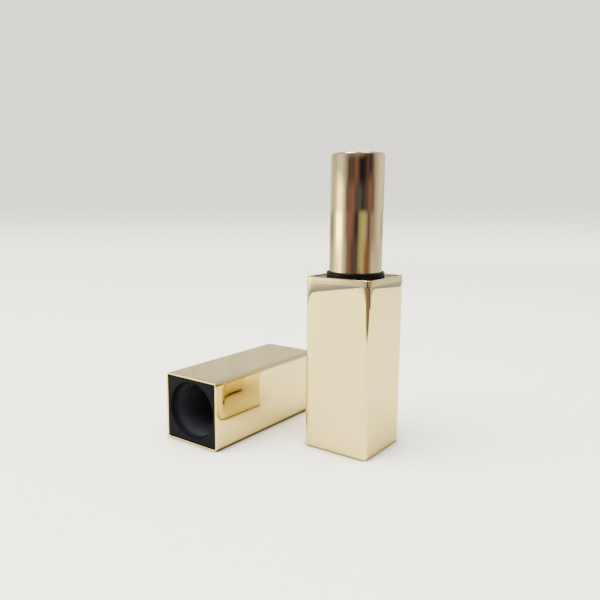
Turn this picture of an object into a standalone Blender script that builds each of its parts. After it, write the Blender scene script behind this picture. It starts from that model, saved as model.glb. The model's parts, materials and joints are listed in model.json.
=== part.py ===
"""Square lipstick case, open: the base stands on its foot and the cap lies beside it.

Metres, +Z up. The origin is the centre of the base's flat bottom face, and the
base's faces look along X and Y. The cap lies on one side, parallel to Y, with its
mouth towards -Y. The bullet cup is fully lowered.

The mechanism is the usual one: the guide tube stands fixed in the base, the bullet
cup slides in it, and the cup's two lugs reach through the guide's straight slots
into two helical grooves in the spiral tube. The spiral tube is fixed in the metal
sleeve, so turning the sleeve in the base raises the cup.
"""
from math import atan2, cos, pi, sin, tau

import bmesh
import bpy
from mathutils import Euler, Matrix, Vector

MM = 0.001

# ---- driving dimensions, in metres -------------------------------------------
CASE_HALF = 9.0 * MM            # half the width of the square case
CORNER_RADIUS = 0.9 * MM
SHELL_LENGTH = 44.3 * MM        # base and cap shells are equally long
SHELL_WALL = 0.5 * MM
SHELL_FLOOR = 0.8 * MM
FOOT_ROUND = 0.35 * MM          # rounding around the closed end of a shell
RIM_ROUND = 0.18 * MM
CLOSE_GAP = 0.1 * MM            # between pieces pressed together
REST_GAP = 0.3 * MM             # between pieces that rest on each other

SLEEVE_RADIUS = 6.6 * MM
SLEEVE_WALL = 0.3 * MM
SLEEVE_TOP = SHELL_LENGTH + 30.05 * MM
SLEEVE_BOTTOM = 26.5 * MM
LIP_ROUND = 0.45 * MM
LIP_RADIUS = 5.65 * MM          # inner edge of the sleeve's turned-in lip

COLLAR_RADIUS = 7.32 * MM
COLLAR_HEIGHT = 1.1 * MM
INSERT_RECESS = 0.2 * MM        # the black faces sit this far inside the gold rims

SPIRAL_WALL = 0.55 * MM
RUN_CLEARANCE = 0.07 * MM       # radial, in each running fit
GUIDE_WALL = 0.4 * MM
CUP_WALL = 0.35 * MM

CUP_LOW = 30.3 * MM             # underside of the cup, fully lowered
CUP_LENGTH = 14.0 * MM
CUP_FLOOR_LOW = 2.7 * MM        # floor of the bullet socket, above the cup's underside
CUP_FLOOR = 0.8 * MM
LUG_RISE = 1.3 * MM             # lug axis above the cup's underside
LUG_RADIUS = 0.5 * MM
TRAVEL = 28.0 * MM
TURNS = 1.5                     # turns of the sleeve for the whole travel
PITCH = TRAVEL / TURNS

CAP_BORE_RADIUS = 7.1 * MM
CAP_COUNTERBORE_RADIUS = 7.6 * MM
CAP_COUNTERBORE_DEPTH = 1.4 * MM
CAP_BORE_DEPTH = 41.5 * MM
CAP_MOUTH_CENTRE = Vector((-32.3 * MM, -27.1 * MM, CASE_HALF))

# ---- derived dimensions ------------------------------------------------------
INNER_HALF = CASE_HALF - SHELL_WALL
INSERT_HALF = INNER_HALF - CLOSE_GAP
INSERT_TOP = SHELL_LENGTH - INSERT_RECESS
COLLAR_TOP = SHELL_LENGTH + COLLAR_HEIGHT
SPIRAL_OUTER = SLEEVE_RADIUS - SLEEVE_WALL - CLOSE_GAP
SPIRAL_INNER = SPIRAL_OUTER - SPIRAL_WALL
GUIDE_OUTER = SPIRAL_INNER - RUN_CLEARANCE
GUIDE_INNER = GUIDE_OUTER - GUIDE_WALL
CUP_OUTER = GUIDE_INNER - RUN_CLEARANCE
CUP_INNER = CUP_OUTER - CUP_WALL
GROOVE_RADIUS = SPIRAL_OUTER - 0.15 * MM
LUG_TIP = GROOVE_RADIUS - 0.1 * MM
LUG_LOW = CUP_LOW + LUG_RISE
LUG_HIGH = LUG_LOW + TRAVEL

WEIGHT_HALF = INNER_HALF - REST_GAP
WEIGHT_LOW = SHELL_FLOOR + REST_GAP
WEIGHT_HEIGHT = 8.2 * MM
INSERT_LOW = WEIGHT_LOW + WEIGHT_HEIGHT + REST_GAP
SLEEVE_WELL_RADIUS = SLEEVE_RADIUS + REST_GAP
SLEEVE_WELL_FLOOR = 25.1 * MM
FLANGE_LOW = SLEEVE_WELL_FLOOR + REST_GAP
FLANGE_HEIGHT = 0.8 * MM
FLANGE_RADIUS = SPIRAL_OUTER - CLOSE_GAP
STEM_RADIUS = 5.0 * MM
STEM_BORE = 4.2 * MM
STEM_LENGTH = 5.5 * MM
SOCKET_DEPTH = STEM_LENGTH + REST_GAP
SOCKET_FLOOR = 1.5 * MM
GUIDE_TOP = SLEEVE_TOP - SLEEVE_WALL - 2 * CLOSE_GAP
RING_RADIUS = 0.25 * MM
SPIRAL_LOW = FLANGE_LOW + FLANGE_HEIGHT + 2 * RING_RADIUS + REST_GAP
SPIRAL_TOP = GUIDE_TOP - 1.0 * MM

ROUND_SIDES = 48
CORNER_STEPS = 4
GROOVE_STEPS_PER_TURN = 32


def material(name, colour, metallic, roughness):
    """One Principled material of a single colour."""
    made = bpy.data.materials.new(name)
    made.use_nodes = True
    shader = made.node_tree.nodes["Principled BSDF"]
    shader.inputs["Base Color"].default_value = (*colour, 1.0)
    shader.inputs["Metallic"].default_value = metallic
    shader.inputs["Roughness"].default_value = roughness
    made.diffuse_color = (*colour, 1.0)
    return made


def arc(centre_radius, centre_z, radius, start, end, steps):
    """Points (r, z) along an arc of a profile, its angles measured from +r towards +z."""
    angles = [start + (end - start) * step / steps for step in range(steps + 1)]
    return [(centre_radius + radius * cos(a), centre_z + radius * sin(a)) for a in angles]


def round_ring(radius, height, sides=ROUND_SIDES):
    """A circle of points about Z."""
    return [Vector((radius * cos(tau * i / sides), radius * sin(tau * i / sides), height))
            for i in range(sides)]


def square_ring(half, height):
    """A square of points about Z whose rounded corners stay concentric as it shrinks."""
    radius = max(CORNER_RADIUS - (CASE_HALF - half), 0.1 * MM)
    points = []
    for quarter in range(4):
        turn = quarter * pi / 2
        corner = Matrix.Rotation(turn, 3, "Z") @ Vector((half - radius, half - radius, height))
        for step in range(CORNER_STEPS + 1):
            angle = turn + (pi / 2) * step / CORNER_STEPS
            points.append(corner + Vector((radius * cos(angle), radius * sin(angle), 0.0)))
    return points


def loft(rings, closed=False):
    """Join rings of points, one after the other, and close both ends or join them."""
    mesh = bmesh.new()
    loops = [[mesh.verts.new(point) for point in ring] for ring in rings]
    pairs = list(zip(loops, loops[1:]))
    if closed:
        pairs.append((loops[-1], loops[0]))
    else:
        mesh.faces.new(loops[0])
        mesh.faces.new(loops[-1])
    for lower, upper in pairs:
        count = len(lower)
        for i in range(count):
            j = (i + 1) % count
            mesh.faces.new((lower[i], lower[j], upper[j], upper[i]))
    bmesh.ops.recalc_face_normals(mesh, faces=mesh.faces)
    return mesh


def place(name, mesh, look=None, parent=None):
    """Turn a bmesh into a named object, smooth where its faces meet at a shallow angle."""
    data = bpy.data.meshes.new(name)
    mesh.to_mesh(data)
    mesh.free()
    data.shade_smooth()
    data.set_sharp_from_angle(angle=pi / 6)
    if look:
        data.materials.append(look)
    made = bpy.data.objects.new(name, data)
    bpy.context.collection.objects.link(made)
    made.parent = parent
    return made


def turned(name, profile, look=None, closed=False, sides=ROUND_SIDES, parent=None):
    """A round piece from its (r, z) profile."""
    rings = [round_ring(radius, height, sides) for radius, height in profile]
    return place(name, loft(rings, closed), look, parent)


def squared(name, profile, look=None, parent=None):
    """A square piece from its (half width, z) profile."""
    return place(name, loft([square_ring(half, height) for half, height in profile]), look, parent)


def hide_cutter(cutter):
    cutter.hide_render = True
    cutter.display_type = "WIRE"


def boolean(target, cutter, operation="DIFFERENCE"):
    """Cut or join one object with another, which stays as a hidden cutter."""
    hide_cutter(cutter)
    modifier = target.modifiers.new(operation.title(), "BOOLEAN")
    modifier.operation = operation
    modifier.object = cutter


def pivot(name, location, rotation=(0.0, 0.0, 0.0)):
    """An empty that carries one moving group."""
    made = bpy.data.objects.new(name, None)
    made.location = location
    made.rotation_euler = Euler(rotation)
    bpy.context.collection.objects.link(made)
    return made


def move_group(parent, *members):
    """Keep a group's pieces where they are while an empty on their axis carries them."""
    for member in members:
        member.parent = parent
        member.matrix_parent_inverse = parent.matrix_basis.inverted()


def shell_profile():
    """Outside and inside of one closed-ended square shell, closed end at z = 0."""
    inset = CASE_HALF - FOOT_ROUND
    foot = arc(inset, FOOT_ROUND, FOOT_ROUND, -pi / 2, 0.0, 4)
    rim_z = SHELL_LENGTH - RIM_ROUND
    outer_rim = arc(CASE_HALF - RIM_ROUND, rim_z, RIM_ROUND, 0.0, pi / 2, 3)
    inner_rim = arc(INNER_HALF + RIM_ROUND, rim_z, RIM_ROUND, pi / 2, pi, 3)
    return foot + outer_rim + inner_rim + [(INNER_HALF, SHELL_FLOOR)]


# ---- base --------------------------------------------------------------------
def make_base_shell(look):
    squared("base_shell", shell_profile(), look)


def make_base_weight(look):
    """A steel block in the foot, with broken edges."""
    break_edge = 0.3 * MM
    top = WEIGHT_LOW + WEIGHT_HEIGHT
    squared("base_weight", [(WEIGHT_HALF - break_edge, WEIGHT_LOW),
                            (WEIGHT_HALF, WEIGHT_LOW + break_edge),
                            (WEIGHT_HALF, top - break_edge),
                            (WEIGHT_HALF - break_edge, top)], look)


def make_base_insert(look):
    """Black plug: square body, round collar on top, stepped well for the mechanism."""
    insert = squared("base_insert", [(INSERT_HALF, INSERT_LOW), (INSERT_HALF, INSERT_TOP)], look)

    overlap = 1.0 * MM
    edge = 0.2 * MM
    collar = turned("collar_form", [(SLEEVE_WELL_RADIUS + 0.1 * MM, INSERT_TOP - overlap),
                                    (COLLAR_RADIUS, INSERT_TOP - overlap),
                                    (COLLAR_RADIUS, COLLAR_TOP - edge)]
                    + arc(COLLAR_RADIUS - edge, COLLAR_TOP - edge, edge, 0.0, pi / 2, 3)[1:])
    boolean(insert, collar, "UNION")

    beyond = 1.0 * MM
    socket_low = SLEEVE_WELL_FLOOR - SOCKET_DEPTH
    well = turned("well_cutter", [(STEM_RADIUS + CLOSE_GAP, socket_low),
                                  (STEM_RADIUS + CLOSE_GAP, SLEEVE_WELL_FLOOR),
                                  (SLEEVE_WELL_RADIUS, SLEEVE_WELL_FLOOR),
                                  (SLEEVE_WELL_RADIUS, COLLAR_TOP + beyond)])
    boolean(insert, well)

    pocket_radius = 6.4 * MM
    pocket = turned("pocket_cutter", [(pocket_radius, INSERT_LOW - beyond),
                                      (pocket_radius, socket_low - SOCKET_FLOOR)])
    boolean(insert, pocket)

    core_radius = 1.3 * MM
    core_offset = 6.2 * MM
    core_top = INSERT_TOP - 3.0 * MM
    for quarter in range(4):
        turn = Matrix.Rotation(quarter * pi / 2, 4, "Z")
        core = turned(f"core_cutter_{quarter}", [(core_radius, INSERT_LOW - beyond),
                                                 (core_radius, core_top)], sides=12)
        core.matrix_world = turn @ Matrix.Translation((core_offset, core_offset, 0.0))
        boolean(insert, core)


# ---- mechanism ---------------------------------------------------------------
def make_guide_tube(look):
    """Inner body: hollow stem, flange, and a tube with two straight slots along X."""
    flange_top = FLANGE_LOW + FLANGE_HEIGHT
    stem_low = FLANGE_LOW - STEM_LENGTH
    guide = turned("guide_tube", [(STEM_RADIUS, stem_low),
                                  (STEM_RADIUS, FLANGE_LOW),
                                  (FLANGE_RADIUS, FLANGE_LOW),
                                  (FLANGE_RADIUS, flange_top),
                                  (GUIDE_OUTER, flange_top),
                                  (GUIDE_OUTER, GUIDE_TOP),
                                  (GUIDE_INNER, GUIDE_TOP),
                                  (GUIDE_INNER, flange_top),
                                  (STEM_BORE, flange_top - 0.5 * MM),
                                  (STEM_BORE, stem_low)], look, closed=True)
    half_width = LUG_RADIUS + 0.15 * MM
    reach = GUIDE_OUTER + 1.0 * MM
    low = LUG_LOW - half_width
    high = LUG_HIGH + half_width
    corners = [(-reach, -half_width), (reach, -half_width), (reach, half_width), (-reach, half_width)]
    slot = place("slot_cutter", loft([[Vector((x, y, z)) for x, y in corners] for z in (low, high)]))
    boolean(guide, slot)


def groove_rings(start_angle):
    """Rectangular sections of a right-handed helical groove, a little past each end of travel."""
    mid_radius = (SPIRAL_INNER + GROOVE_RADIUS) / 2
    lead = PITCH / tau
    slope = atan2(lead, mid_radius)
    half_width = LUG_RADIUS + 0.12 * MM
    overrun = (LUG_RADIUS + 0.2 * MM) / PITCH * sin(slope)
    first, last = -overrun, TURNS + overrun
    steps = int((last - first) * GROOVE_STEPS_PER_TURN) + 1
    inner = SPIRAL_INNER - 0.3 * MM
    rings = []
    for step in range(steps + 1):
        turn = first + (last - first) * step / steps
        ring = []
        for radius, side in ((inner, -1), (GROOVE_RADIUS, -1), (GROOVE_RADIUS, 1), (inner, 1)):
            angle = start_angle + tau * turn - side * half_width * sin(slope) / mid_radius
            height = LUG_LOW + PITCH * turn + side * half_width * cos(slope)
            ring.append(Vector((radius * cos(angle), radius * sin(angle), height)))
        rings.append(ring)
    return rings


def make_spiral_tube(look):
    """Sleeve liner with two helical grooves, half a turn apart, on its inner side."""
    spiral = turned("spiral_tube", [(SPIRAL_OUTER, SPIRAL_LOW), (SPIRAL_OUTER, SPIRAL_TOP),
                                    (SPIRAL_INNER, SPIRAL_TOP), (SPIRAL_INNER, SPIRAL_LOW)],
                    look, closed=True)
    for start in range(2):
        boolean(spiral, place(f"groove_cutter_{start}", loft(groove_rings(start * pi))))
    return spiral


def make_sleeve(look):
    """Thin metal sleeve with a rounded lip turned in over the guide tube."""
    inner = SLEEVE_RADIUS - SLEEVE_WALL
    lip_z = SLEEVE_TOP - LIP_ROUND
    lip_out = arc(SLEEVE_RADIUS - LIP_ROUND, lip_z, LIP_ROUND, 0.0, pi / 2, 4)
    inner_round = LIP_ROUND - SLEEVE_WALL
    lip_in = arc(SLEEVE_RADIUS - LIP_ROUND, lip_z, inner_round, pi / 2, 0.0, 2)
    profile = ([(SLEEVE_RADIUS, SLEEVE_BOTTOM)] + lip_out
               + [(LIP_RADIUS, SLEEVE_TOP), (LIP_RADIUS, SLEEVE_TOP - SLEEVE_WALL)]
               + lip_in + [(inner, SLEEVE_BOTTOM)])
    return turned("sleeve", profile, look, closed=True)


def make_drag_ring(look):
    """Rubber ring on the guide's flange, which makes the turning stiff."""
    radius = GUIDE_OUTER + CLOSE_GAP + RING_RADIUS
    height = FLANGE_LOW + FLANGE_HEIGHT + CLOSE_GAP + RING_RADIUS
    section = arc(radius, height, RING_RADIUS, 0.0, tau, 8)[:-1]
    turned("drag_ring", section, look, closed=True, sides=32)


def make_cup(look):
    """Bullet cup: socket above, open skirt below, and two lugs along X."""
    top = CUP_LOW + CUP_LENGTH
    floor_low = CUP_LOW + CUP_FLOOR_LOW
    lead_in = 0.15 * MM
    cup = turned("cup", [(CUP_INNER, floor_low),
                         (CUP_INNER, CUP_LOW),
                         (CUP_OUTER, CUP_LOW),
                         (CUP_OUTER, top - lead_in),
                         (CUP_OUTER - lead_in, top),
                         (CUP_INNER, top),
                         (CUP_INNER, floor_low + CUP_FLOOR)], look)
    start = CUP_INNER + 0.1 * MM
    for side, name in ((1, "lug_form_right"), (-1, "lug_form_left")):
        lug = turned(name, [(LUG_RADIUS, start), (LUG_RADIUS, LUG_TIP)], sides=12)
        lug.matrix_world = (Matrix.Translation((0.0, 0.0, LUG_LOW))
                            @ Matrix.Rotation(side * pi / 2, 4, "Y"))
        boolean(cup, lug, "UNION")
    return cup


# ---- cap, modelled mouth up at its own origin and then laid down ---------------
def make_cap_shell(look, parent):
    """The same drawn shell as the base, turned over so that its mouth is at z = 0."""
    profile = [(half, SHELL_LENGTH - height) for half, height in shell_profile()]
    squared("cap_shell", profile, look, parent)


def make_cap_liner(look, parent):
    """Black liner: square outside, counterbore for the collar, then a long round bore."""
    top = SHELL_LENGTH - SHELL_FLOOR - REST_GAP
    liner = squared("cap_liner", [(INSERT_HALF, INSERT_RECESS), (INSERT_HALF, top)], look, parent)
    lead_in = 0.15 * MM
    beyond = 1.0 * MM
    bore = turned("bore_cutter", [(CAP_COUNTERBORE_RADIUS + lead_in + beyond, INSERT_RECESS - beyond),
                                  (CAP_COUNTERBORE_RADIUS, INSERT_RECESS + lead_in),
                                  (CAP_COUNTERBORE_RADIUS, CAP_COUNTERBORE_DEPTH),
                                  (CAP_BORE_RADIUS, CAP_COUNTERBORE_DEPTH),
                                  (CAP_BORE_RADIUS, CAP_BORE_DEPTH)], parent=parent)
    boolean(liner, bore)


def build():
    for old in list(bpy.data.objects):
        bpy.data.objects.remove(old, do_unlink=True)

    gold = material("champagne_gold", (0.86, 0.76, 0.53), 1.0, 0.08)
    black = material("black_gloss_plastic", (0.012, 0.012, 0.013), 0.0, 0.18)
    white = material("natural_plastic", (0.75, 0.74, 0.70), 0.0, 0.35)
    steel = material("steel", (0.52, 0.52, 0.53), 1.0, 0.4)
    rubber = material("drag_rubber", (0.45, 0.10, 0.07), 0.0, 0.55)

    make_base_shell(gold)
    make_base_weight(steel)
    make_base_insert(black)
    make_guide_tube(white)
    make_drag_ring(rubber)

    twist = pivot("sleeve_twist_axis", (0.0, 0.0, SLEEVE_BOTTOM))
    move_group(twist, make_sleeve(gold), make_spiral_tube(white))
    rise = pivot("cup_rise_axis", (0.0, 0.0, LUG_LOW))
    move_group(rise, make_cup(black))

    # The cap's own +Z, from its mouth to its closed end, points along +Y when it lies down.
    laid = pivot("cap_axis", CAP_MOUTH_CENTRE, (-pi / 2, 0.0, 0.0))
    make_cap_shell(gold, laid)
    make_cap_liner(black, laid)
    bpy.context.view_layer.update()


build()
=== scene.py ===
"""Looks of the square gold lipstick case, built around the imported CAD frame.

The mirror-plated shells, the sleeve, the slotted guide and the black mouldings are
remade with fine meshes inside the sizes of their CAD nodes. The pieces that stay hidden
inside keep their CAD meshes and get better materials. All lengths are in metres.
"""

import json
from math import cos, pi, radians, sin, tau

import bmesh
import bpy
from mathutils import Euler, Matrix, Vector


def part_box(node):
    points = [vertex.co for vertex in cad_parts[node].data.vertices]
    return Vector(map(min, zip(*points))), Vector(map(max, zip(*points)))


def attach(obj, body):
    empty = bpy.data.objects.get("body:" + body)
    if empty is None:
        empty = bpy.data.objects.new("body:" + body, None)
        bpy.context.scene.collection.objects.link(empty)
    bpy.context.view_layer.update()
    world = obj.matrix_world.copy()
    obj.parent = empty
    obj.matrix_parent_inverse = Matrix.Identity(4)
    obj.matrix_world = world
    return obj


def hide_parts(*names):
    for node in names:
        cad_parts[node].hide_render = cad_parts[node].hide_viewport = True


MM = 0.001

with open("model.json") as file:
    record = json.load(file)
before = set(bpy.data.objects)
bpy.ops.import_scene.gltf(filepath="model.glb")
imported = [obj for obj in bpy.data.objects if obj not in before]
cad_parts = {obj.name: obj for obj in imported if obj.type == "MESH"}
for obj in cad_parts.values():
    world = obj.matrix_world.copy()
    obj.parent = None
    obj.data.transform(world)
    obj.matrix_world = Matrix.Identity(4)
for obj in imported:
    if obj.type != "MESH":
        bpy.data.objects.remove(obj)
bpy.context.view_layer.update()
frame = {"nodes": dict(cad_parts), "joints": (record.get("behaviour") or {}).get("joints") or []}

# ---- sizes that no box tells: walls, roundings and bores ------------------------
CORNER_RADIUS = 0.9 * MM
SHELL_WALL = 0.5 * MM
SHELL_FLOOR = 0.8 * MM
FOOT_ROUND = 0.45 * MM
RIM_ROUND = 0.18 * MM
SLEEVE_WALL = 0.3 * MM
LIP_ROUND = 0.55 * MM
LIP_RADIUS = 5.65 * MM
INSERT_RECESS = 0.2 * MM
COLLAR_RADIUS = 7.32 * MM
WELL_RADIUS = 6.9 * MM
WELL_BELOW_SLEEVE = 1.4 * MM    # from the sleeve's foot down to the well's floor
STEM_SOCKET_RADIUS = 5.1 * MM
STEM_SOCKET_DEPTH = 5.8 * MM
POCKET_RADIUS = 6.4 * MM        # the plug is hollowed out from below
POCKET_ROOF = 7.3 * MM          # from the well's floor down to the top of that hollow
COUNTERBORE_RADIUS = 7.6 * MM
COUNTERBORE_DEPTH = 1.4 * MM
CAP_BORE_RADIUS = 7.1 * MM
CAP_BORE_DEPTH = 41.5 * MM
GRIP_RIBS = 6
GRIP_RIB_RADIUS = 0.22 * MM
CUP_WALL = 0.35 * MM
CUP_FLOOR_LOW = 2.7 * MM
CUP_FLOOR = 0.8 * MM
CUP_RIBS = 8
CUP_RIB_RADIUS = 0.16 * MM
BOSS_RADIUS = 1.4 * MM
GUIDE_WALL = 0.4 * MM
GUIDE_OUTER = 5.58 * MM
STEM_OUTER = 5.0 * MM
STEM_INNER = 4.2 * MM
STEM_LENGTH = 5.5 * MM
FLANGE_THICKNESS = 0.8 * MM
LUG_RISE = 1.3 * MM
LUG_RADIUS = 0.5 * MM
SLOT_CLEARANCE = 0.15 * MM
RIB_POINT = 0.02 * MM           # radius at the tapered end of a rib
OVERLAP = 0.1 * MM              # how deep a piece that is joined on sinks into the other
CLEAR = 1.0 * MM                # how far a cutter stands out of what it cuts
CUTTER_REACH = 8 * MM           # half the length of the cutters that make the guide's slots

FINE_SIDES = 192                # around the large round pieces
MEDIUM_SIDES = 128              # around the guide and the cup
CORNER_STEPS = 10               # around each rounded corner of the square pieces
SIDE_STEPS = 24                 # along each flat side
CROWN = 0.07 * MM               # how far the plated sides fall away towards the corners
CROWN_START = 0.68              # where on the half width that begins
SHARP_EDGE = radians(35)        # edges that turn by more than this stay sharp

# ---- sizes read from the frame --------------------------------------------------
base_low, base_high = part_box("base_shell")
insert_low, insert_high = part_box("base_insert")
sleeve_low, sleeve_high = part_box("sleeve")
guide_low, guide_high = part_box("guide_tube")
cup_low, cup_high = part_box("cup")
cap_low, cap_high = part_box("cap_shell")
liner_low, liner_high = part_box("cap_liner")

CASE_HALF = base_high.x
SHELL_LENGTH = base_high.z - base_low.z
INNER_HALF = CASE_HALF - SHELL_WALL


# ---- mesh helpers ---------------------------------------------------------------
def arc(centre_radius, centre_z, radius, start, end, steps):
    """Points (r, z) along an arc of a profile."""
    angles = [start + (end - start) * step / steps for step in range(steps + 1)]
    return [(centre_radius + radius * cos(a), centre_z + radius * sin(a)) for a in angles]


def run(start, end, steps):
    """Evenly spaced profile points from start to end, both included."""
    return [(start[0] + (end[0] - start[0]) * i / steps, start[1] + (end[1] - start[1]) * i / steps)
            for i in range(steps + 1)]


def round_ring(radius, height, sides):
    """A circle about Z."""
    return [Vector((radius * cos(tau * i / sides), radius * sin(tau * i / sides), height))
            for i in range(sides)]


def crown_pull(across, half):
    """Share by which a point is drawn in, from its place across the side."""
    reach = max(0.0, (abs(across) / half - CROWN_START) / (1 - CROWN_START))
    return 1 - CROWN * reach ** 3 / half


def square_ring(half, height, crowned=False):
    """A rounded square about Z, its sides divided, its corners concentric as it shrinks."""
    radius = max(CORNER_RADIUS - (CASE_HALF - half), 0.1 * MM)
    points = []
    for quarter in range(4):
        turn = Matrix.Rotation(quarter * pi / 2, 3, "Z")
        centre = Vector((half - radius, half - radius, height))
        for step in range(CORNER_STEPS):
            angle = (pi / 2) * step / CORNER_STEPS
            points.append(turn @ (centre + Vector((radius * cos(angle), radius * sin(angle), 0.0))))
        for step in range(SIDE_STEPS):
            along = (half - radius) * (1 - 2 * step / SIDE_STEPS)
            points.append(turn @ Vector((along, half, height)))
    if crowned:
        points = [Vector((p.x * crown_pull(p.y, half), p.y * crown_pull(p.x, half), p.z))
                  for p in points]
    return points


def loft(rings, closed=False):
    """Join rings of points one after the other, and close both ends or join them."""
    mesh = bmesh.new()
    loops = [[mesh.verts.new(point) for point in ring] for ring in rings]
    pairs = list(zip(loops, loops[1:]))
    if closed:
        pairs.append((loops[-1], loops[0]))
    else:
        mesh.faces.new(loops[0])
        mesh.faces.new(loops[-1])
    for lower, upper in pairs:
        count = len(lower)
        for i in range(count):
            j = (i + 1) % count
            mesh.faces.new((lower[i], lower[j], upper[j], upper[i]))
    bmesh.ops.recalc_face_normals(mesh, faces=mesh.faces)
    return mesh


def smooth(data):
    """Shade a mesh smoothly, but for its sharp edges."""
    data.shade_smooth()
    data.set_sharp_from_angle(angle=SHARP_EDGE)


def to_object(name, mesh, look=None):
    """Turn a bmesh into an object of the scene."""
    data = bpy.data.meshes.new(name)
    mesh.to_mesh(data)
    mesh.free()
    smooth(data)
    if look:
        data.materials.append(look)
    made = bpy.data.objects.new(name, data)
    bpy.context.scene.collection.objects.link(made)
    return made


def turned(name, profile, look=None, closed=False, sides=FINE_SIDES):
    """A piece turned about Z from its profile (r, z)."""
    return to_object(name, loft([round_ring(r, z, sides) for r, z in profile], closed), look)


def squared(name, profile, look=None, crowned=False):
    """A square piece from its profile (half width, z); only its outer skin is crowned."""
    rings = [square_ring(half, z, crowned and half > INNER_HALF + RIM_ROUND) for half, z in profile]
    return to_object(name, loft(rings), look)


def apply_modifiers(made):
    """Bake an object's modifiers into its own mesh."""
    depsgraph = bpy.context.evaluated_depsgraph_get()
    baked = bpy.data.meshes.new_from_object(made.evaluated_get(depsgraph))
    made.modifiers.clear()
    made.data = baked


def carve(target, cutters, operation="DIFFERENCE"):
    """Cut target with the cutters, or join them to it, and drop them."""
    for cutter in cutters:
        modifier = target.modifiers.new("carve", "BOOLEAN")
        modifier.operation = operation
        modifier.object = cutter
    apply_modifiers(target)
    for cutter in cutters:
        bpy.data.objects.remove(cutter, do_unlink=True)


# ---- material helpers -----------------------------------------------------------
class Nodes:
    """A node tree with a short way to add and link nodes."""

    def __init__(self, tree):
        self.tree = tree

    def add(self, kind, inputs=None, **settings):
        node = self.tree.nodes.new(kind)
        for key, value in settings.items():
            setattr(node, key, value)
        for key, value in (inputs or {}).items():
            if isinstance(value, bpy.types.NodeSocket):
                self.tree.links.new(value, node.inputs[key])
            else:
                node.inputs[key].default_value = value
        return node

    def noise(self, vector, scale, detail=2.0, roughness=0.5):
        return self.add("ShaderNodeTexNoise", {"Vector": vector, "Scale": scale, "Detail": detail,
                                               "Roughness": roughness}).outputs["Fac"]

    def stretch(self, vector, scale):
        return self.add("ShaderNodeMapping", {"Vector": vector, "Scale": scale}).outputs["Vector"]

    def span(self, value, low, high, to_low=0.0, to_high=1.0):
        """Map a value range smoothly onto another one, held at both ends."""
        return self.add("ShaderNodeMapRange", {"Value": value, "From Min": low, "From Max": high,
                                               "To Min": to_low, "To Max": to_high},
                        interpolation_type="SMOOTHSTEP").outputs["Result"]

    def math(self, operation, first, second=0.0):
        return self.add("ShaderNodeMath", {0: first, 1: second}, operation=operation).outputs[0]

    def blend(self, factor, first, second):
        """Mix two colours."""
        return self.add("ShaderNodeMix", {"Factor": factor, 6: first, 7: second},
                        data_type="RGBA").outputs[2]

    def bump(self, height, distance, strength=1.0, normal=None):
        """A bumped normal, on top of another one if it is given."""
        inputs = {"Height": height, "Distance": distance, "Strength": strength}
        if normal:
            inputs["Normal"] = normal
        return self.add("ShaderNodeBump", inputs).outputs["Normal"]


def new_look(name, **sockets):
    """A Principled material, its node helper, its shader and its object coordinates."""
    made = bpy.data.materials.new(name)
    made.use_nodes = True
    nodes = Nodes(made.node_tree)
    shader = made.node_tree.nodes["Principled BSDF"]
    for key, value in sockets.items():
        shader.inputs[key.replace("_", " ")].default_value = value
    place = nodes.add("ShaderNodeTexCoord").outputs["Object"]
    return made, nodes, shader, place


def wire(nodes, shader, **sockets):
    """Link node outputs to the shader's sockets."""
    for key, value in sockets.items():
        nodes.tree.links.new(value, shader.inputs[key.replace("_", " ")])


# ---- materials ------------------------------------------------------------------
GOLD = (0.715, 0.625, 0.325, 1.0)
GOLD_PALE = (0.745, 0.65, 0.355, 1.0)
BORE_BLACK = (0.022, 0.022, 0.028, 1.0)
DUST = (0.035, 0.034, 0.033, 1.0)
NATURAL_DARK = (0.40, 0.385, 0.34, 1.0)
NATURAL_LIGHT = (0.50, 0.485, 0.44, 1.0)
STEEL = (0.52, 0.51, 0.50, 1.0)
OILY_STEEL = (0.36, 0.33, 0.30, 1.0)
SILICONE_DARK = (0.34, 0.07, 0.05, 1.0)
SILICONE_LIGHT = (0.46, 0.12, 0.08, 1.0)
PLATE_ROUGHNESS = 0.018
HAIRLINE_ACROSS = 420.0         # how much the hairlines are squeezed across, and along
HAIRLINE_ALONG = 18.0


def mirror_gold(name, hairline_axis, waviness):
    """Champagne-gold plating: near-mirror, faintly wavy, with smears, grain and hairlines."""
    made, nodes, shader, place = new_look(name, Metallic=1.0, IOR=1.45)
    plate = nodes.noise(place, scale=70.0, detail=3.0)
    tint = nodes.blend(nodes.span(plate, 0.35, 0.75), GOLD, GOLD_PALE)

    smears = nodes.noise(nodes.stretch(place, (1.0, 1.6, 0.7)), scale=160.0, detail=6.0,
                         roughness=0.62)
    film = nodes.span(smears, 0.52, 0.74, 0.0, 0.045)
    streaks = [HAIRLINE_ACROSS] * 3
    streaks[hairline_axis] = HAIRLINE_ALONG
    hairlines = nodes.noise(nodes.stretch(place, streaks), scale=9.0, detail=4.0, roughness=0.7)
    scratch = nodes.span(hairlines, 0.66, 0.74, 0.0, 0.04)
    roughness = nodes.math("ADD", nodes.math("ADD", film, scratch), PLATE_ROUGHNESS)

    swell = nodes.bump(nodes.noise(place, scale=55.0, detail=1.0), distance=waviness)
    grain = nodes.bump(nodes.noise(place, scale=900.0, detail=3.0, roughness=0.6),
                       distance=0.4e-6, normal=swell)
    fine = nodes.bump(hairlines, distance=0.5e-6, strength=0.6, normal=grain)
    wire(nodes, shader, Base_Color=tint, Roughness=roughness, Normal=fine)
    return made


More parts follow.
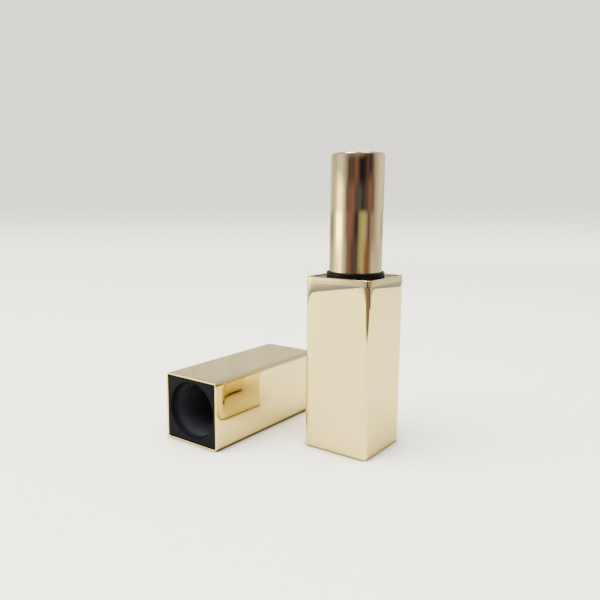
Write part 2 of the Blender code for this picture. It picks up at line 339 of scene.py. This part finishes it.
def black_moulding(name, dark, light, gloss, specular, matt_from=None):
    """Black plastic between two tones, with a faint orange peel, dust and handling marks.

    Past matt_from along Y it has the paler skin of an unpolished bore.
    """
    made, nodes, shader, place = new_look(name, Metallic=0.0, IOR=1.5, Specular_IOR_Level=specular)
    shade = nodes.blend(nodes.noise(place, scale=240.0, detail=3.0), (*dark, 1.0), (*light, 1.0))
    cells = nodes.add("ShaderNodeTexVoronoi", {"Vector": place, "Scale": 900.0})
    specks = nodes.span(cells.outputs["Distance"], 0.06, 0.11, 1.0, 0.0)
    patches = nodes.span(nodes.noise(place, scale=330.0), 0.60, 0.68)
    colour = nodes.blend(nodes.math("MULTIPLY", specks, patches), shade, DUST)
    if matt_from is not None:
        along = nodes.add("ShaderNodeSeparateXYZ", {0: place}).outputs["Y"]
        colour = nodes.blend(nodes.span(along, matt_from, matt_from + 1.5 * MM), colour, BORE_BLACK)
    marks = nodes.noise(nodes.stretch(place, (1.0, 2.2, 1.0)), scale=380.0, detail=5.0,
                        roughness=0.6)
    roughness = nodes.span(marks, 0.40, 0.75, gloss, gloss + 0.16)
    peel = nodes.bump(nodes.noise(place, scale=1500.0, detail=2.0), distance=1.5e-6)
    wire(nodes, shader, Base_Color=colour, Roughness=roughness, Normal=peel)
    return made


def natural_moulding(name):
    """Unpigmented plastic, slightly see-through, with flow marks from the mould."""
    made, nodes, shader, place = new_look(name, Metallic=0.0, IOR=1.5, Subsurface_Weight=0.25,
                                          Subsurface_Scale=0.0006)
    flow = nodes.noise(nodes.stretch(place, (260.0, 260.0, 35.0)), scale=1.0, detail=4.0,
                       roughness=0.55)
    colour = nodes.blend(nodes.span(flow, 0.3, 0.7), NATURAL_DARK, NATURAL_LIGHT)
    roughness = nodes.span(nodes.noise(place, scale=700.0, detail=4.0), 0.35, 0.7, 0.26, 0.42)
    skin = nodes.bump(nodes.noise(place, scale=2200.0, detail=3.0), distance=2.0e-6)
    wire(nodes, shader, Base_Color=colour, Roughness=roughness, Normal=skin)
    return made


def turned_steel(name):
    """Plain steel slug with cutting marks and a trace of oil staining."""
    made, nodes, shader, place = new_look(name, Metallic=1.0)
    marks = nodes.noise(nodes.stretch(place, (120.0, 6000.0, 6000.0)), scale=1.0, detail=3.0)
    stain = nodes.noise(place, scale=300.0, detail=5.0, roughness=0.6)
    colour = nodes.blend(nodes.span(stain, 0.45, 0.7), STEEL, OILY_STEEL)
    roughness = nodes.span(stain, 0.3, 0.7, 0.28, 0.5)
    cuts = nodes.bump(marks, distance=6.0e-6)
    wire(nodes, shader, Base_Color=colour, Roughness=roughness, Normal=cuts)
    return made


def matte_rubber(name):
    """Red-brown silicone with a fine skin and a few grease patches."""
    made, nodes, shader, place = new_look(name, Metallic=0.0, IOR=1.41)
    grease = nodes.noise(place, scale=500.0, detail=4.0)
    colour = nodes.blend(grease, SILICONE_DARK, SILICONE_LIGHT)
    roughness = nodes.span(grease, 0.4, 0.65, 0.62, 0.3)
    skin = nodes.bump(nodes.noise(place, scale=3000.0, detail=2.0), distance=3.0e-6)
    wire(nodes, shader, Base_Color=colour, Roughness=roughness, Normal=skin)
    return made


# ---- pieces ---------------------------------------------------------------------
def shell_profile():
    """One closed-ended square shell, (half width, z), closed end at z = 0, mouth on top."""
    foot = [(half, 0.0) for half in (0.2 * CASE_HALF, 0.6 * CASE_HALF)]
    foot += arc(CASE_HALF - FOOT_ROUND, FOOT_ROUND, FOOT_ROUND, -pi / 2, 0.0, 8)
    rim_z = SHELL_LENGTH - RIM_ROUND
    side = run((CASE_HALF, FOOT_ROUND), (CASE_HALF, rim_z), 30)[1:-1]
    outer_rim = arc(CASE_HALF - RIM_ROUND, rim_z, RIM_ROUND, 0.0, pi / 2, 5)
    inner_rim = arc(INNER_HALF + RIM_ROUND, rim_z, RIM_ROUND, pi / 2, pi, 5)
    return foot + side + outer_rim + inner_rim + [(INNER_HALF, SHELL_FLOOR)]


def make_base_case(look):
    """The gold casing of the base, standing on its closed end."""
    piece = squared("base_case", shell_profile(), look, crowned=True)
    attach(piece, "base")
    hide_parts("base_shell")


def make_base_plug(look):
    """Square black plug, recessed in the rim, with its round collar and open well."""
    half = insert_high.x
    face = base_high.z - INSERT_RECESS
    edge = 0.12 * MM
    outline = [(half, insert_low.z), (half, face - edge)]
    outline += arc(half - edge, face - edge, edge, 0.0, pi / 2, 4)[1:]
    plug = squared("base_plug", outline, look)

    edge = 0.2 * MM
    core = WELL_RADIUS * 0.9
    outline = [(core, face - CLEAR), (COLLAR_RADIUS, face - CLEAR)]
    outline += arc(COLLAR_RADIUS - edge, insert_high.z - edge, edge, 0.0, pi / 2, 5)
    outline += [(core, insert_high.z)]
    carve(plug, [turned("collar", outline)], "UNION")

    well_floor = sleeve_low.z - WELL_BELOW_SLEEVE
    mouth = WELL_RADIUS + 0.2 * MM
    well = turned("well", [(WELL_RADIUS, well_floor), (WELL_RADIUS, insert_high.z - 0.08 * MM),
                           (mouth, insert_high.z + 0.12 * MM), (mouth, insert_high.z + CLEAR)])
    socket = turned("socket", [(STEM_SOCKET_RADIUS, well_floor - STEM_SOCKET_DEPTH),
                               (STEM_SOCKET_RADIUS, well_floor + CLEAR)])
    pocket = turned("pocket", [(POCKET_RADIUS, insert_low.z - CLEAR),
                               (POCKET_RADIUS, well_floor - POCKET_ROOF)])
    carve(plug, [well, socket, pocket])
    smooth(plug.data)
    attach(plug, "base")
    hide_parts("base_insert")


def make_sleeve_tube(look):
    """Thin drawn sleeve with a lip curled inwards and a small bevel at its foot."""
    radius = sleeve_high.x
    top = sleeve_high.z
    inner = radius - SLEEVE_WALL
    centre = radius - LIP_ROUND
    lip_z = top - LIP_ROUND
    half_wall = SLEEVE_WALL / 2
    bevel = 0.1 * MM
    lip_out = arc(centre, lip_z, LIP_ROUND, 0.0, pi / 2, 10)
    lip_in = arc(centre, lip_z, LIP_ROUND - SLEEVE_WALL, pi / 2, 0.0, 5)
    curl = arc(LIP_RADIUS + half_wall, top - half_wall, half_wall, pi / 2, 3 * pi / 2, 6)
    side = run((radius, sleeve_low.z + bevel), (radius, lip_z), 24)[:-1]
    profile = [(radius - bevel, sleeve_low.z)] + side + lip_out + curl + lip_in
    profile += [(inner, sleeve_low.z)]
    piece = turned("sleeve_tube", profile, look, closed=True)
    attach(piece, "sleeve_group")
    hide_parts("sleeve")


def frame_travel():
    """The cup's travel, from its joint."""
    rise = next(joint for joint in frame["joints"] if joint["name"] == "cup_rise")
    return rise["range_m"][1]


def make_inner_guide(look):
    """Slotted inner tube with a rounded top edge, its flange and its hollow stem."""
    top = guide_high.z
    inner = GUIDE_OUTER - GUIDE_WALL
    flange_low = guide_low.z + STEM_LENGTH
    flange_top = flange_low + FLANGE_THICKNESS
    edge = 0.15 * MM
    profile = [(STEM_OUTER, guide_low.z), (STEM_OUTER, flange_low), (guide_high.x, flange_low),
               (guide_high.x, flange_top), (GUIDE_OUTER, flange_top)]
    profile += arc(GUIDE_OUTER - edge, top - edge, edge, 0.0, pi / 2, 4)
    profile += arc(inner + edge, top - edge, edge, pi / 2, pi, 4)
    profile += [(inner, flange_top), (STEM_INNER, flange_top - 0.5 * MM), (STEM_INNER, guide_low.z)]
    piece = turned("inner_guide", profile, look, closed=True, sides=MEDIUM_SIDES)
    half = LUG_RADIUS + SLOT_CLEARANCE
    low = cup_low.z + LUG_RISE
    high = low + frame_travel()
    corners = ((-CUTTER_REACH, -half), (CUTTER_REACH, -half), (CUTTER_REACH, half), (-CUTTER_REACH, half))
    slot = to_object("slot", loft([[Vector((x, y, z)) for x, y in corners] for z in (low, high)]))
    ends = []
    for height in (low, high):
        end = turned("slot_end", [(half, -CUTTER_REACH), (half, CUTTER_REACH)], sides=24)
        end.data.transform(Matrix.Translation((0.0, 0.0, height)) @ Matrix.Rotation(pi / 2, 4, "Y"))
        ends.append(end)
    carve(piece, [slot] + ends)
    smooth(piece.data)
    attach(piece, "base")
    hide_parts("guide_tube")


def make_bullet_cup(look):
    """Bullet cup with rounded mouth, grip ribs in its socket, a floor boss and two lugs."""
    outer = cup_high.y
    inner = outer - CUP_WALL
    low, top = cup_low.z, cup_high.z
    floor_low = low + CUP_FLOOR_LOW
    floor = floor_low + CUP_FLOOR
    edge = 0.14 * MM
    profile = [(inner, floor_low), (inner, low), (outer, low)]
    profile += arc(outer - edge, top - edge, edge, 0.0, pi / 2, 4)
    profile += arc(inner + edge, top - edge, edge, pi / 2, pi, 4)
    profile += [(inner, floor)]
    piece = turned("bullet_cup", profile, look, sides=MEDIUM_SIDES)
    extras = []
    for number in range(CUP_RIBS):
        rib = turned("rib", [(CUP_RIB_RADIUS, floor - OVERLAP), (CUP_RIB_RADIUS, top - 2.0 * MM),
                             (RIB_POINT, top - 1.4 * MM)], sides=10)
        turn = Matrix.Rotation(tau * (number + 0.5) / CUP_RIBS, 4, "Z")
        rib.data.transform(turn @ Matrix.Translation((inner, 0.0, 0.0)))
        extras.append(rib)
    boss = turned("boss", [(BOSS_RADIUS, floor - OVERLAP), (BOSS_RADIUS, floor + 0.25 * MM),
                           (BOSS_RADIUS - 0.2 * MM, floor + 0.4 * MM)], sides=48)
    extras.append(boss)
    for side in (1, -1):
        lug = turned("lug", [(LUG_RADIUS, inner + OVERLAP), (LUG_RADIUS, cup_high.x)], sides=24)
        lug.data.transform(Matrix.Translation((0.0, 0.0, low + LUG_RISE))
                           @ Matrix.Rotation(side * pi / 2, 4, "Y"))
        extras.append(lug)
    carve(piece, extras, "UNION")
    smooth(piece.data)
    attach(piece, "bullet_cup")
    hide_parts("cup")


def lay_down(piece):
    """From mouth-down at the origin to lying along Y, closed end away from the camera."""
    centre_x = (cap_low.x + cap_high.x) / 2
    centre_z = (cap_low.z + cap_high.z) / 2
    place = Matrix.Translation((centre_x, cap_low.y, centre_z)) @ Matrix.Rotation(-pi / 2, 4, "X")
    piece.data.transform(place)


def make_cap_case(look):
    """The gold casing of the cap, the same shell as the base's."""
    profile = [(half, SHELL_LENGTH - z) for half, z in shell_profile()]
    piece = squared("cap_case", profile, look, crowned=True)
    lay_down(piece)
    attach(piece, "cap")
    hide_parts("cap_shell")


def make_cap_lining(look):
    """Black lining: flat recessed face, counterbore for the collar, bore with grip ribs."""
    half = (liner_high.x - liner_low.x) / 2
    face = liner_low.y - cap_low.y
    back = liner_high.y - cap_low.y
    edge = 0.12 * MM
    outline = arc(half - edge, face + edge, edge, -pi / 2, 0.0, 4) + [(half, back)]
    piece = squared("cap_lining", outline, look)
    lead = 0.15 * MM
    bore = turned("bore", [(COUNTERBORE_RADIUS + lead + CLEAR, face - CLEAR),
                           (COUNTERBORE_RADIUS, face + lead),
                           (COUNTERBORE_RADIUS, COUNTERBORE_DEPTH),
                           (CAP_BORE_RADIUS + lead, COUNTERBORE_DEPTH),
                           (CAP_BORE_RADIUS, COUNTERBORE_DEPTH + lead),
                           (CAP_BORE_RADIUS, CAP_BORE_DEPTH - 0.5 * MM),
                           (CAP_BORE_RADIUS - 0.5 * MM, CAP_BORE_DEPTH)])
    carve(piece, [bore])
    ribs = []
    for number in range(GRIP_RIBS):
        rib = turned("grip_rib", [(RIB_POINT, 3.5 * MM), (GRIP_RIB_RADIUS, 5.5 * MM),
                                  (GRIP_RIB_RADIUS, 16.0 * MM), (RIB_POINT, 18.0 * MM)], sides=12)
        turn = Matrix.Rotation(tau * (number + 0.5) / GRIP_RIBS, 4, "Z")
        rib.data.transform(turn @ Matrix.Translation((CAP_BORE_RADIUS, 0.0, 0.0)))
        ribs.append(rib)
    carve(piece, ribs, "UNION")
    smooth(piece.data)
    lay_down(piece)
    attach(piece, "cap")
    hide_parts("cap_liner")


def dress_node(name, look):
    """Give a CAD node that stays its own material."""
    data = frame["nodes"][name].data
    data.materials.clear()
    data.materials.append(look)


def make_pieces():
    """Every piece with its material. The hairlines run along the pieces: 1 is Y, 2 is Z."""
    case_gold = mirror_gold("case_gold", hairline_axis=2, waviness=4.0e-6)
    sleeve_gold = mirror_gold("sleeve_gold", hairline_axis=2, waviness=1.5e-6)
    cap_gold = mirror_gold("cap_gold", hairline_axis=1, waviness=4.0e-6)
    plug_black = black_moulding("plug_black", dark=(0.0030, 0.0026, 0.0022),
                                light=(0.0050, 0.0044, 0.0038), gloss=0.16, specular=0.05)
    lining_black = black_moulding("lining_black", dark=(0.0044, 0.0047, 0.0062),
                                  light=(0.0064, 0.0068, 0.0088), gloss=0.24, specular=0.012,
                                  matt_from=cap_low.y + COUNTERBORE_DEPTH)
    natural = natural_moulding("natural_moulding")
    make_base_case(case_gold)
    make_base_plug(plug_black)
    make_sleeve_tube(sleeve_gold)
    make_inner_guide(natural)
    make_bullet_cup(plug_black)
    make_cap_case(cap_gold)
    make_cap_lining(lining_black)
    dress_node("spiral_tube", natural)
    dress_node("drag_ring", matte_rubber("drag_rubber"))
    dress_node("base_weight", turned_steel("weight_steel"))


# ---- studio ---------------------------------------------------------------------
def stage_mesh(name, mesh, look, glossy_only=False):
    """Something of the studio, if asked so that only reflections see it."""
    made = to_object(name, mesh, look)
    if glossy_only:
        made.visible_camera = False
        made.visible_diffuse = False
        made.visible_transmission = False
        made.visible_volume_scatter = False
        made.visible_shadow = False
    return made


FLOOR_ALBEDO = (0.81, 0.80, 0.725, 1.0)
FLOOR_IN_MIRROR = (0.69, 0.62, 0.40, 1.0)
# painted reflection: seen in mirrors, the floor turns dark past a line on the camera's side
PAINTED_MIRROR_DARK = (0.075, 0.05, 0.045, 1.0)
PAINTED_MIRROR_DARK_SIDE = Vector((cos(radians(-52)), sin(radians(-52)), 0.0))
PAINTED_MIRROR_DARK_NEAR, PAINTED_MIRROR_DARK_FAR = 0.122, 0.168
CONTACT_SHADES = (              # reach, tint of the full shade
    (0.030, (0.74, 0.68, 0.55)),
    (0.0025, (0.10, 0.09, 0.08)),
)
FLOOR_RADIUS = 0.9
FLOOR_FADE = (0.35, 0.80)       # it fades out between these distances from the object
FLOOR_DROP = 0.02 * MM          # keeps it just clear of the pieces that stand on it


def make_floor():
    """Pale table top, shaded where things stand on it, fading into the backdrop far away.

    In reflections it is warmer, and falls off to a painted dark reflection on the open side of the tent.
    """
    made = bpy.data.materials.new("pale_floor")
    made.use_nodes = True
    nodes = Nodes(made.node_tree)
    shader = nodes.tree.nodes["Principled BSDF"]
    place = nodes.add("ShaderNodeTexCoord").outputs["Object"]
    mirrored = nodes.add("ShaderNodeLightPath").outputs["Is Glossy Ray"]
    # painted reflection: for glossy rays the floor is warmer and goes dark towards the camera's side
    ahead = nodes.add("ShaderNodeVectorMath", {0: place, 1: PAINTED_MIRROR_DARK_SIDE},
                      operation="DOT_PRODUCT").outputs["Value"]
    edge = nodes.span(ahead, PAINTED_MIRROR_DARK_NEAR, PAINTED_MIRROR_DARK_FAR)
    colour = nodes.blend(mirrored, FLOOR_ALBEDO, nodes.blend(edge, FLOOR_IN_MIRROR, PAINTED_MIRROR_DARK))
    for reach, tint in CONTACT_SHADES:
        shelter = nodes.add("ShaderNodeAmbientOcclusion", {"Distance": reach}, samples=8)
        shaded = nodes.add("ShaderNodeVectorMath", {0: colour, 1: tint}, operation="MULTIPLY")
        open_share = nodes.span(shelter.outputs["AO"], 0.1, 1.0)
        colour = nodes.blend(open_share, shaded.outputs["Vector"], colour)
    nodes.tree.links.new(colour, shader.inputs["Base Color"])
    shader.inputs["Roughness"].default_value = 0.55
    shader.inputs["Specular IOR Level"].default_value = 0.15
    distance = nodes.add("ShaderNodeVectorMath", {0: place}, operation="LENGTH").outputs["Value"]
    fade = nodes.span(distance, *FLOOR_FADE)
    clear = nodes.add("ShaderNodeBsdfTransparent").outputs[0]
    mixed = nodes.add("ShaderNodeMixShader", {0: fade, 1: shader.outputs[0], 2: clear}).outputs[0]
    nodes.tree.links.new(mixed, nodes.tree.nodes["Material Output"].inputs["Surface"])
    mesh = bmesh.new()
    bmesh.ops.create_circle(mesh, cap_ends=True, segments=96, radius=FLOOR_RADIUS)
    floor = stage_mesh("table_top", mesh, made)
    floor.location.z = -FLOOR_DROP


FLOOR_GLOW = (3.70, 3.60, 2.90, 1.0)
SKY_GLOW = (1.78, 1.70, 1.45, 1.0)
FILL_GLOW = (1.75, 1.74, 1.66, 1.0)
DIM_GLOW = (0.55, 0.55, 0.52, 1.0)
HORIZON = (-0.102, 0.019)       # slopes between which the sweep goes from floor to sky


def make_backdrop():
    """World light: a plain sweep for the camera, an even fill for the surfaces, dim mirrors."""
    world = bpy.data.worlds.new("soft_studio")
    bpy.context.scene.world = world
    world.use_nodes = True
    nodes = Nodes(world.node_tree)
    nodes.tree.nodes.clear()
    direction = nodes.add("ShaderNodeTexCoord").outputs["Generated"]
    height = nodes.add("ShaderNodeSeparateXYZ", {0: direction}).outputs["Z"]
    sweep = nodes.blend(nodes.span(height, *HORIZON), FLOOR_GLOW, SKY_GLOW)
    path = nodes.add("ShaderNodeLightPath")
    unseen = nodes.blend(path.outputs["Is Diffuse Ray"], DIM_GLOW, FILL_GLOW)
    colour = nodes.blend(path.outputs["Is Camera Ray"], unseen, sweep)
    light = nodes.add("ShaderNodeBackground", {"Color": colour}).outputs[0]
    output = nodes.add("ShaderNodeOutputWorld")
    nodes.tree.links.new(light, output.inputs["Surface"])


SOFTBOX_COLOUR = (1.0, 0.985, 0.955)
SOFTBOXES = (                   # name, compass angle, height, distance, size, watts
    ("key_softbox", -128.0, 1.00, 0.80, 0.9, 36.0),
    ("overhead_softbox", -62.0, 1.05, 0.25, 1.1, 31.0),
)


def make_lights():
    """A softbox from the left of the camera, and a broader, weaker one overhead."""
    for name, compass, height, reach, size, power in SOFTBOXES:
        data = bpy.data.lights.new(name, "AREA")
        data.shape = "SQUARE"
        data.size = size
        data.energy = power
        data.color = SOFTBOX_COLOUR
        light = bpy.data.objects.new(name, data)
        light.location = (reach * cos(radians(compass)), reach * sin(radians(compass)), height)
        light.rotation_euler = light.location.to_track_quat("Z", "Y").to_euler()
        bpy.context.scene.collection.objects.link(light)


# ---- what the mirrors see --------------------------------------------------------
GLARE = (10.0, 8.6, 3.6)
BRIGHT = (4.6, 3.8, 2.1)
LIGHT = (2.5, 2.1, 1.45)
PALE = (1.35, 1.22, 1.05)
CREAM = (1.26, 1.14, 0.86)
GREY = (0.92, 0.84, 0.78)
SHADE = (0.60, 0.54, 0.52)
DUSK = (0.38, 0.33, 0.36)
CLAY = (0.48, 0.35, 0.32)
BROWN = (0.29, 0.155, 0.17)
UMBER = (0.14, 0.095, 0.11)
INK = (0.070, 0.045, 0.060)
BLACK = (0.035, 0.018, 0.024)
MOSS = (0.11, 0.125, 0.15)
OLIVE = (0.40, 0.42, 0.28)
STRAW = (0.74, 0.66, 0.36)
OCHRE = (0.66, 0.40, 0.17)
RUST = (0.32, 0.145, 0.12)
RUSSET = (0.35, 0.185, 0.18)
MIST = (0.86, 0.92, 0.95)

# A pale tent, open on one side towards a dim warm room, painted as glowing bands of light and shade, the
# glare of the key light among them: its bands by compass angle in degrees, each with its colour at the
# foot, low, half way up, higher and at the top.
TENT_BANDS = (
    (-180, MIST, GREY, SHADE, GREY, GREY),
    (-176, MIST, GREY, SHADE, SHADE, SHADE),
    (-168, MIST, PALE, PALE, PALE, GREY),
    (-158, MIST, LIGHT, LIGHT, PALE, GREY),
    (-150, MIST, LIGHT, GLARE, BRIGHT, PALE),
    (-138, MIST, BRIGHT, GLARE, BRIGHT, PALE),
    (-130, MIST, BRIGHT, GLARE, BRIGHT, PALE),
    (-124, MIST, LIGHT, BRIGHT, LIGHT, GREY),
    (-118, MIST, PALE, PALE, PALE, GREY),
    (-113, MIST, GREY, GREY, GREY, SHADE),
    (-106, SHADE, SHADE, DUSK, BROWN, DUSK),
    (-97, UMBER, RUSSET, RUSSET, BROWN, UMBER),
    (-86, UMBER, BROWN, RUSSET, BROWN, UMBER),
    (-76, UMBER, UMBER, BROWN, RUSSET, UMBER),
    (-65, UMBER, UMBER, INK, UMBER, RUST),
    (-58, UMBER, UMBER, INK, MOSS, UMBER),
    (-47, UMBER, OLIVE, OLIVE, MOSS, BLACK),
    (-36, UMBER, STRAW, STRAW, INK, BLACK),
    (-26, UMBER, OCHRE, STRAW, UMBER, INK),
    (-18, UMBER, RUST, CLAY, UMBER, UMBER),
    (-8, UMBER, RUST, UMBER, RUSSET, INK),
    (3, DUSK, CLAY, CLAY, BROWN, UMBER),
    (12, SHADE, GREY, CLAY, BROWN, DUSK),
    (21, SHADE, GREY, SHADE, SHADE, SHADE),
    (34, MIST, GREY, GREY, GREY, GREY),
    (50, MIST, GREY, PALE, PALE, PALE),
    (66, MIST, PALE, GREY, PALE, PALE),
    (80, MIST, GREY, SHADE, GREY, PALE),
    (100, MIST, LIGHT, LIGHT, PALE, GREY),
    (118, MIST, PALE, PALE, PALE, CREAM),
    (160, MIST, GREY, SHADE, CREAM, CREAM),
    (180, MIST, GREY, SHADE, GREY, GREY),
)
BAND_EDGES = ((0.002, 0.013), (0.028, 0.046), (0.056, 0.062), (0.074, 0.088))  # between columns
TENT_FADE = (0.104, 0.170)      # heights between which the bands fade towards grey
TENT_FADE_SHARE = 0.70
TENT_CREASE_SHADE = (-0.001, 0.006)   # painted shade: the tent is darker at its foot, between these heights
CREASE_SHADE_STRENGTH = 0.50
TENT_HALF_WIDTH = 0.229
TENT_HALF_DEPTH = 0.335
TENT_TURN = 15.0                # degrees that the tent is turned from the object's axes
TENT_HEIGHT = 0.45
LINTEL_HEIGHT = 0.80


def tent_radius(angle):
    """Distance to the wall of the tent, a box with well rounded corners."""
    turned_by = radians(angle - TENT_TURN)
    across = abs(cos(turned_by)) / TENT_HALF_WIDTH
    along = abs(sin(turned_by)) / TENT_HALF_DEPTH
    return (across ** 6 + along ** 6) ** (-1 / 6)


def card(name, start, end, low, high, look, lean=1.0):
    """A strip along the wall of the tent, between two compass angles in degrees."""
    steps = max(2, int(abs(end - start) / 2))
    mesh = bmesh.new()
    uv = mesh.loops.layers.uv.new()
    columns = []
    for step in range(steps + 1):
        compass = start + (end - start) * step / steps
        angle = radians(compass)
        reach = tent_radius(compass)
        foot = Vector((reach * cos(angle), reach * sin(angle), low))
        head = Vector((foot.x * lean, foot.y * lean, high))
        columns.append((mesh.verts.new(foot), mesh.verts.new(head)))
    for step, (left, right) in enumerate(zip(columns, columns[1:])):
        face = mesh.faces.new((left[0], right[0], right[1], left[1]))
        for loop, u, v in zip(face.loops, (step, step + 1, step + 1, step), (0, 0, 1, 1)):
            loop[uv].uv = (u / steps, v)
    stage_mesh(name, mesh, look, glossy_only=True)


def band_ramp(nodes, turn, column):
    """One colour ramp over the compass for a column of the bands."""
    ramp = nodes.add("ShaderNodeValToRGB", {"Fac": turn})
    stops = ramp.color_ramp.elements
    for number, band in enumerate(TENT_BANDS):
        place = (band[0] + 180) / 360
        stop = stops[number] if number < 2 else stops.new(place)
        stop.position = place
        stop.color = (*band[column], 1.0)
    return ramp.outputs["Color"]


def make_tent():
    """The wall of the tent, a glowing card with painted light and shade, its folds included. Only
    reflections see it.
    """
    made = bpy.data.materials.new("tent_wall")
    made.use_nodes = True
    nodes = Nodes(made.node_tree)
    nodes.tree.nodes.clear()
    texture = nodes.add("ShaderNodeTexCoord")
    around = nodes.add("ShaderNodeSeparateXYZ", {0: texture.outputs["UV"]}).outputs["X"]
    height = nodes.add("ShaderNodeSeparateXYZ", {0: texture.outputs["Object"]}).outputs["Z"]
    folds = nodes.noise(nodes.stretch(texture.outputs["Object"], (9.0, 9.0, 22.0)), 1.0, 3.0, 0.55)
    sway = nodes.math("MULTIPLY", nodes.math("SUBTRACT", folds, 0.5), 0.025)
    turn = nodes.math("ADD", around, sway)
    colour = band_ramp(nodes, turn, 1)
    for column, (below, above) in enumerate(BAND_EDGES, 2):
        colour = nodes.blend(nodes.span(height, below, above), colour, band_ramp(nodes, turn, column))
    fade = nodes.span(height, *TENT_FADE, 0.0, TENT_FADE_SHARE)
    colour = nodes.blend(fade, colour, (*GREY, 1.0))
    # painted shade at the tent's foot, and painted light and shade across its pleats
    crease_shade = nodes.span(height, *TENT_CREASE_SHADE, CREASE_SHADE_STRENGTH, 1.0)
    pleats = nodes.noise(nodes.stretch(texture.outputs["Object"], (60.0, 60.0, 3.0)), 1.0, 3.0, 0.6)
    strength = nodes.math("MULTIPLY", crease_shade, nodes.span(pleats, 0.25, 0.75, 0.90, 1.10))
    light = nodes.add("ShaderNodeEmission", {"Color": colour, "Strength": strength}).outputs[0]
    output = nodes.add("ShaderNodeOutputMaterial")
    nodes.tree.links.new(light, output.inputs["Surface"])
    card("tent", -180.0, 180.0, 0.0, TENT_HEIGHT, made)


def faded_glow(name, colour, edge):
    """A plain glow, its two upright edges faded out over a share of the card's width."""
    made = bpy.data.materials.new(name)
    made.use_nodes = True
    nodes = Nodes(made.node_tree)
    nodes.tree.nodes.clear()
    light = nodes.add("ShaderNodeEmission", {"Color": (*colour, 1.0)}).outputs[0]
    output = nodes.add("ShaderNodeOutputMaterial")
    texture = nodes.add("ShaderNodeTexCoord")
    across = nodes.add("ShaderNodeSeparateXYZ", {0: texture.outputs["UV"]}).outputs["X"]
    left = nodes.span(across, 0.0, edge)
    right = nodes.span(across, 1.0 - edge, 1.0, 1.0, 0.0)
    clear = nodes.add("ShaderNodeBsdfTransparent").outputs[0]
    share = nodes.math("MULTIPLY", left, right)
    surface = nodes.add("ShaderNodeMixShader", {0: share, 1: clear, 2: light}).outputs[0]
    nodes.tree.links.new(surface, output.inputs["Surface"])
    return made


def make_lintel():
    """A dim card that leans in over the open side of the tent."""
    shade = faded_glow("lintel_shade", (0.16, 0.10, 0.09), 0.3)
    card("lintel", -100.0, -8.0, TENT_HEIGHT - 0.05, LINTEL_HEIGHT, shade, lean=0.1)


# ---- camera ---------------------------------------------------------------------
CAMERA_PLACE = Vector((74.35, -131.7, 60.8)) * MM
CAMERA_HEADING = radians(38.11)         # turned from +Y towards -X
CAMERA_DIP = radians(8.67)              # below the horizon
FOCAL_LENGTH = 35.65                    # millimetres, on a 36 mm wide sensor
SIDE_SHIFT = 0.058                      # the object sits right of the lens axis


def make_camera():
    data = bpy.data.cameras.new("camera")
    data.sensor_width = 36.0
    data.lens = FOCAL_LENGTH
    data.shift_x = SIDE_SHIFT
    data.clip_start = 0.005
    camera = bpy.data.objects.new("camera", data)
    camera.location = CAMERA_PLACE
    camera.rotation_euler = Euler((pi / 2 - CAMERA_DIP, 0.0, CAMERA_HEADING))
    bpy.context.scene.collection.objects.link(camera)
    bpy.context.scene.camera = camera


make_camera()
make_pieces()
make_floor()
make_backdrop()
make_lights()
make_tent()
make_lintel()
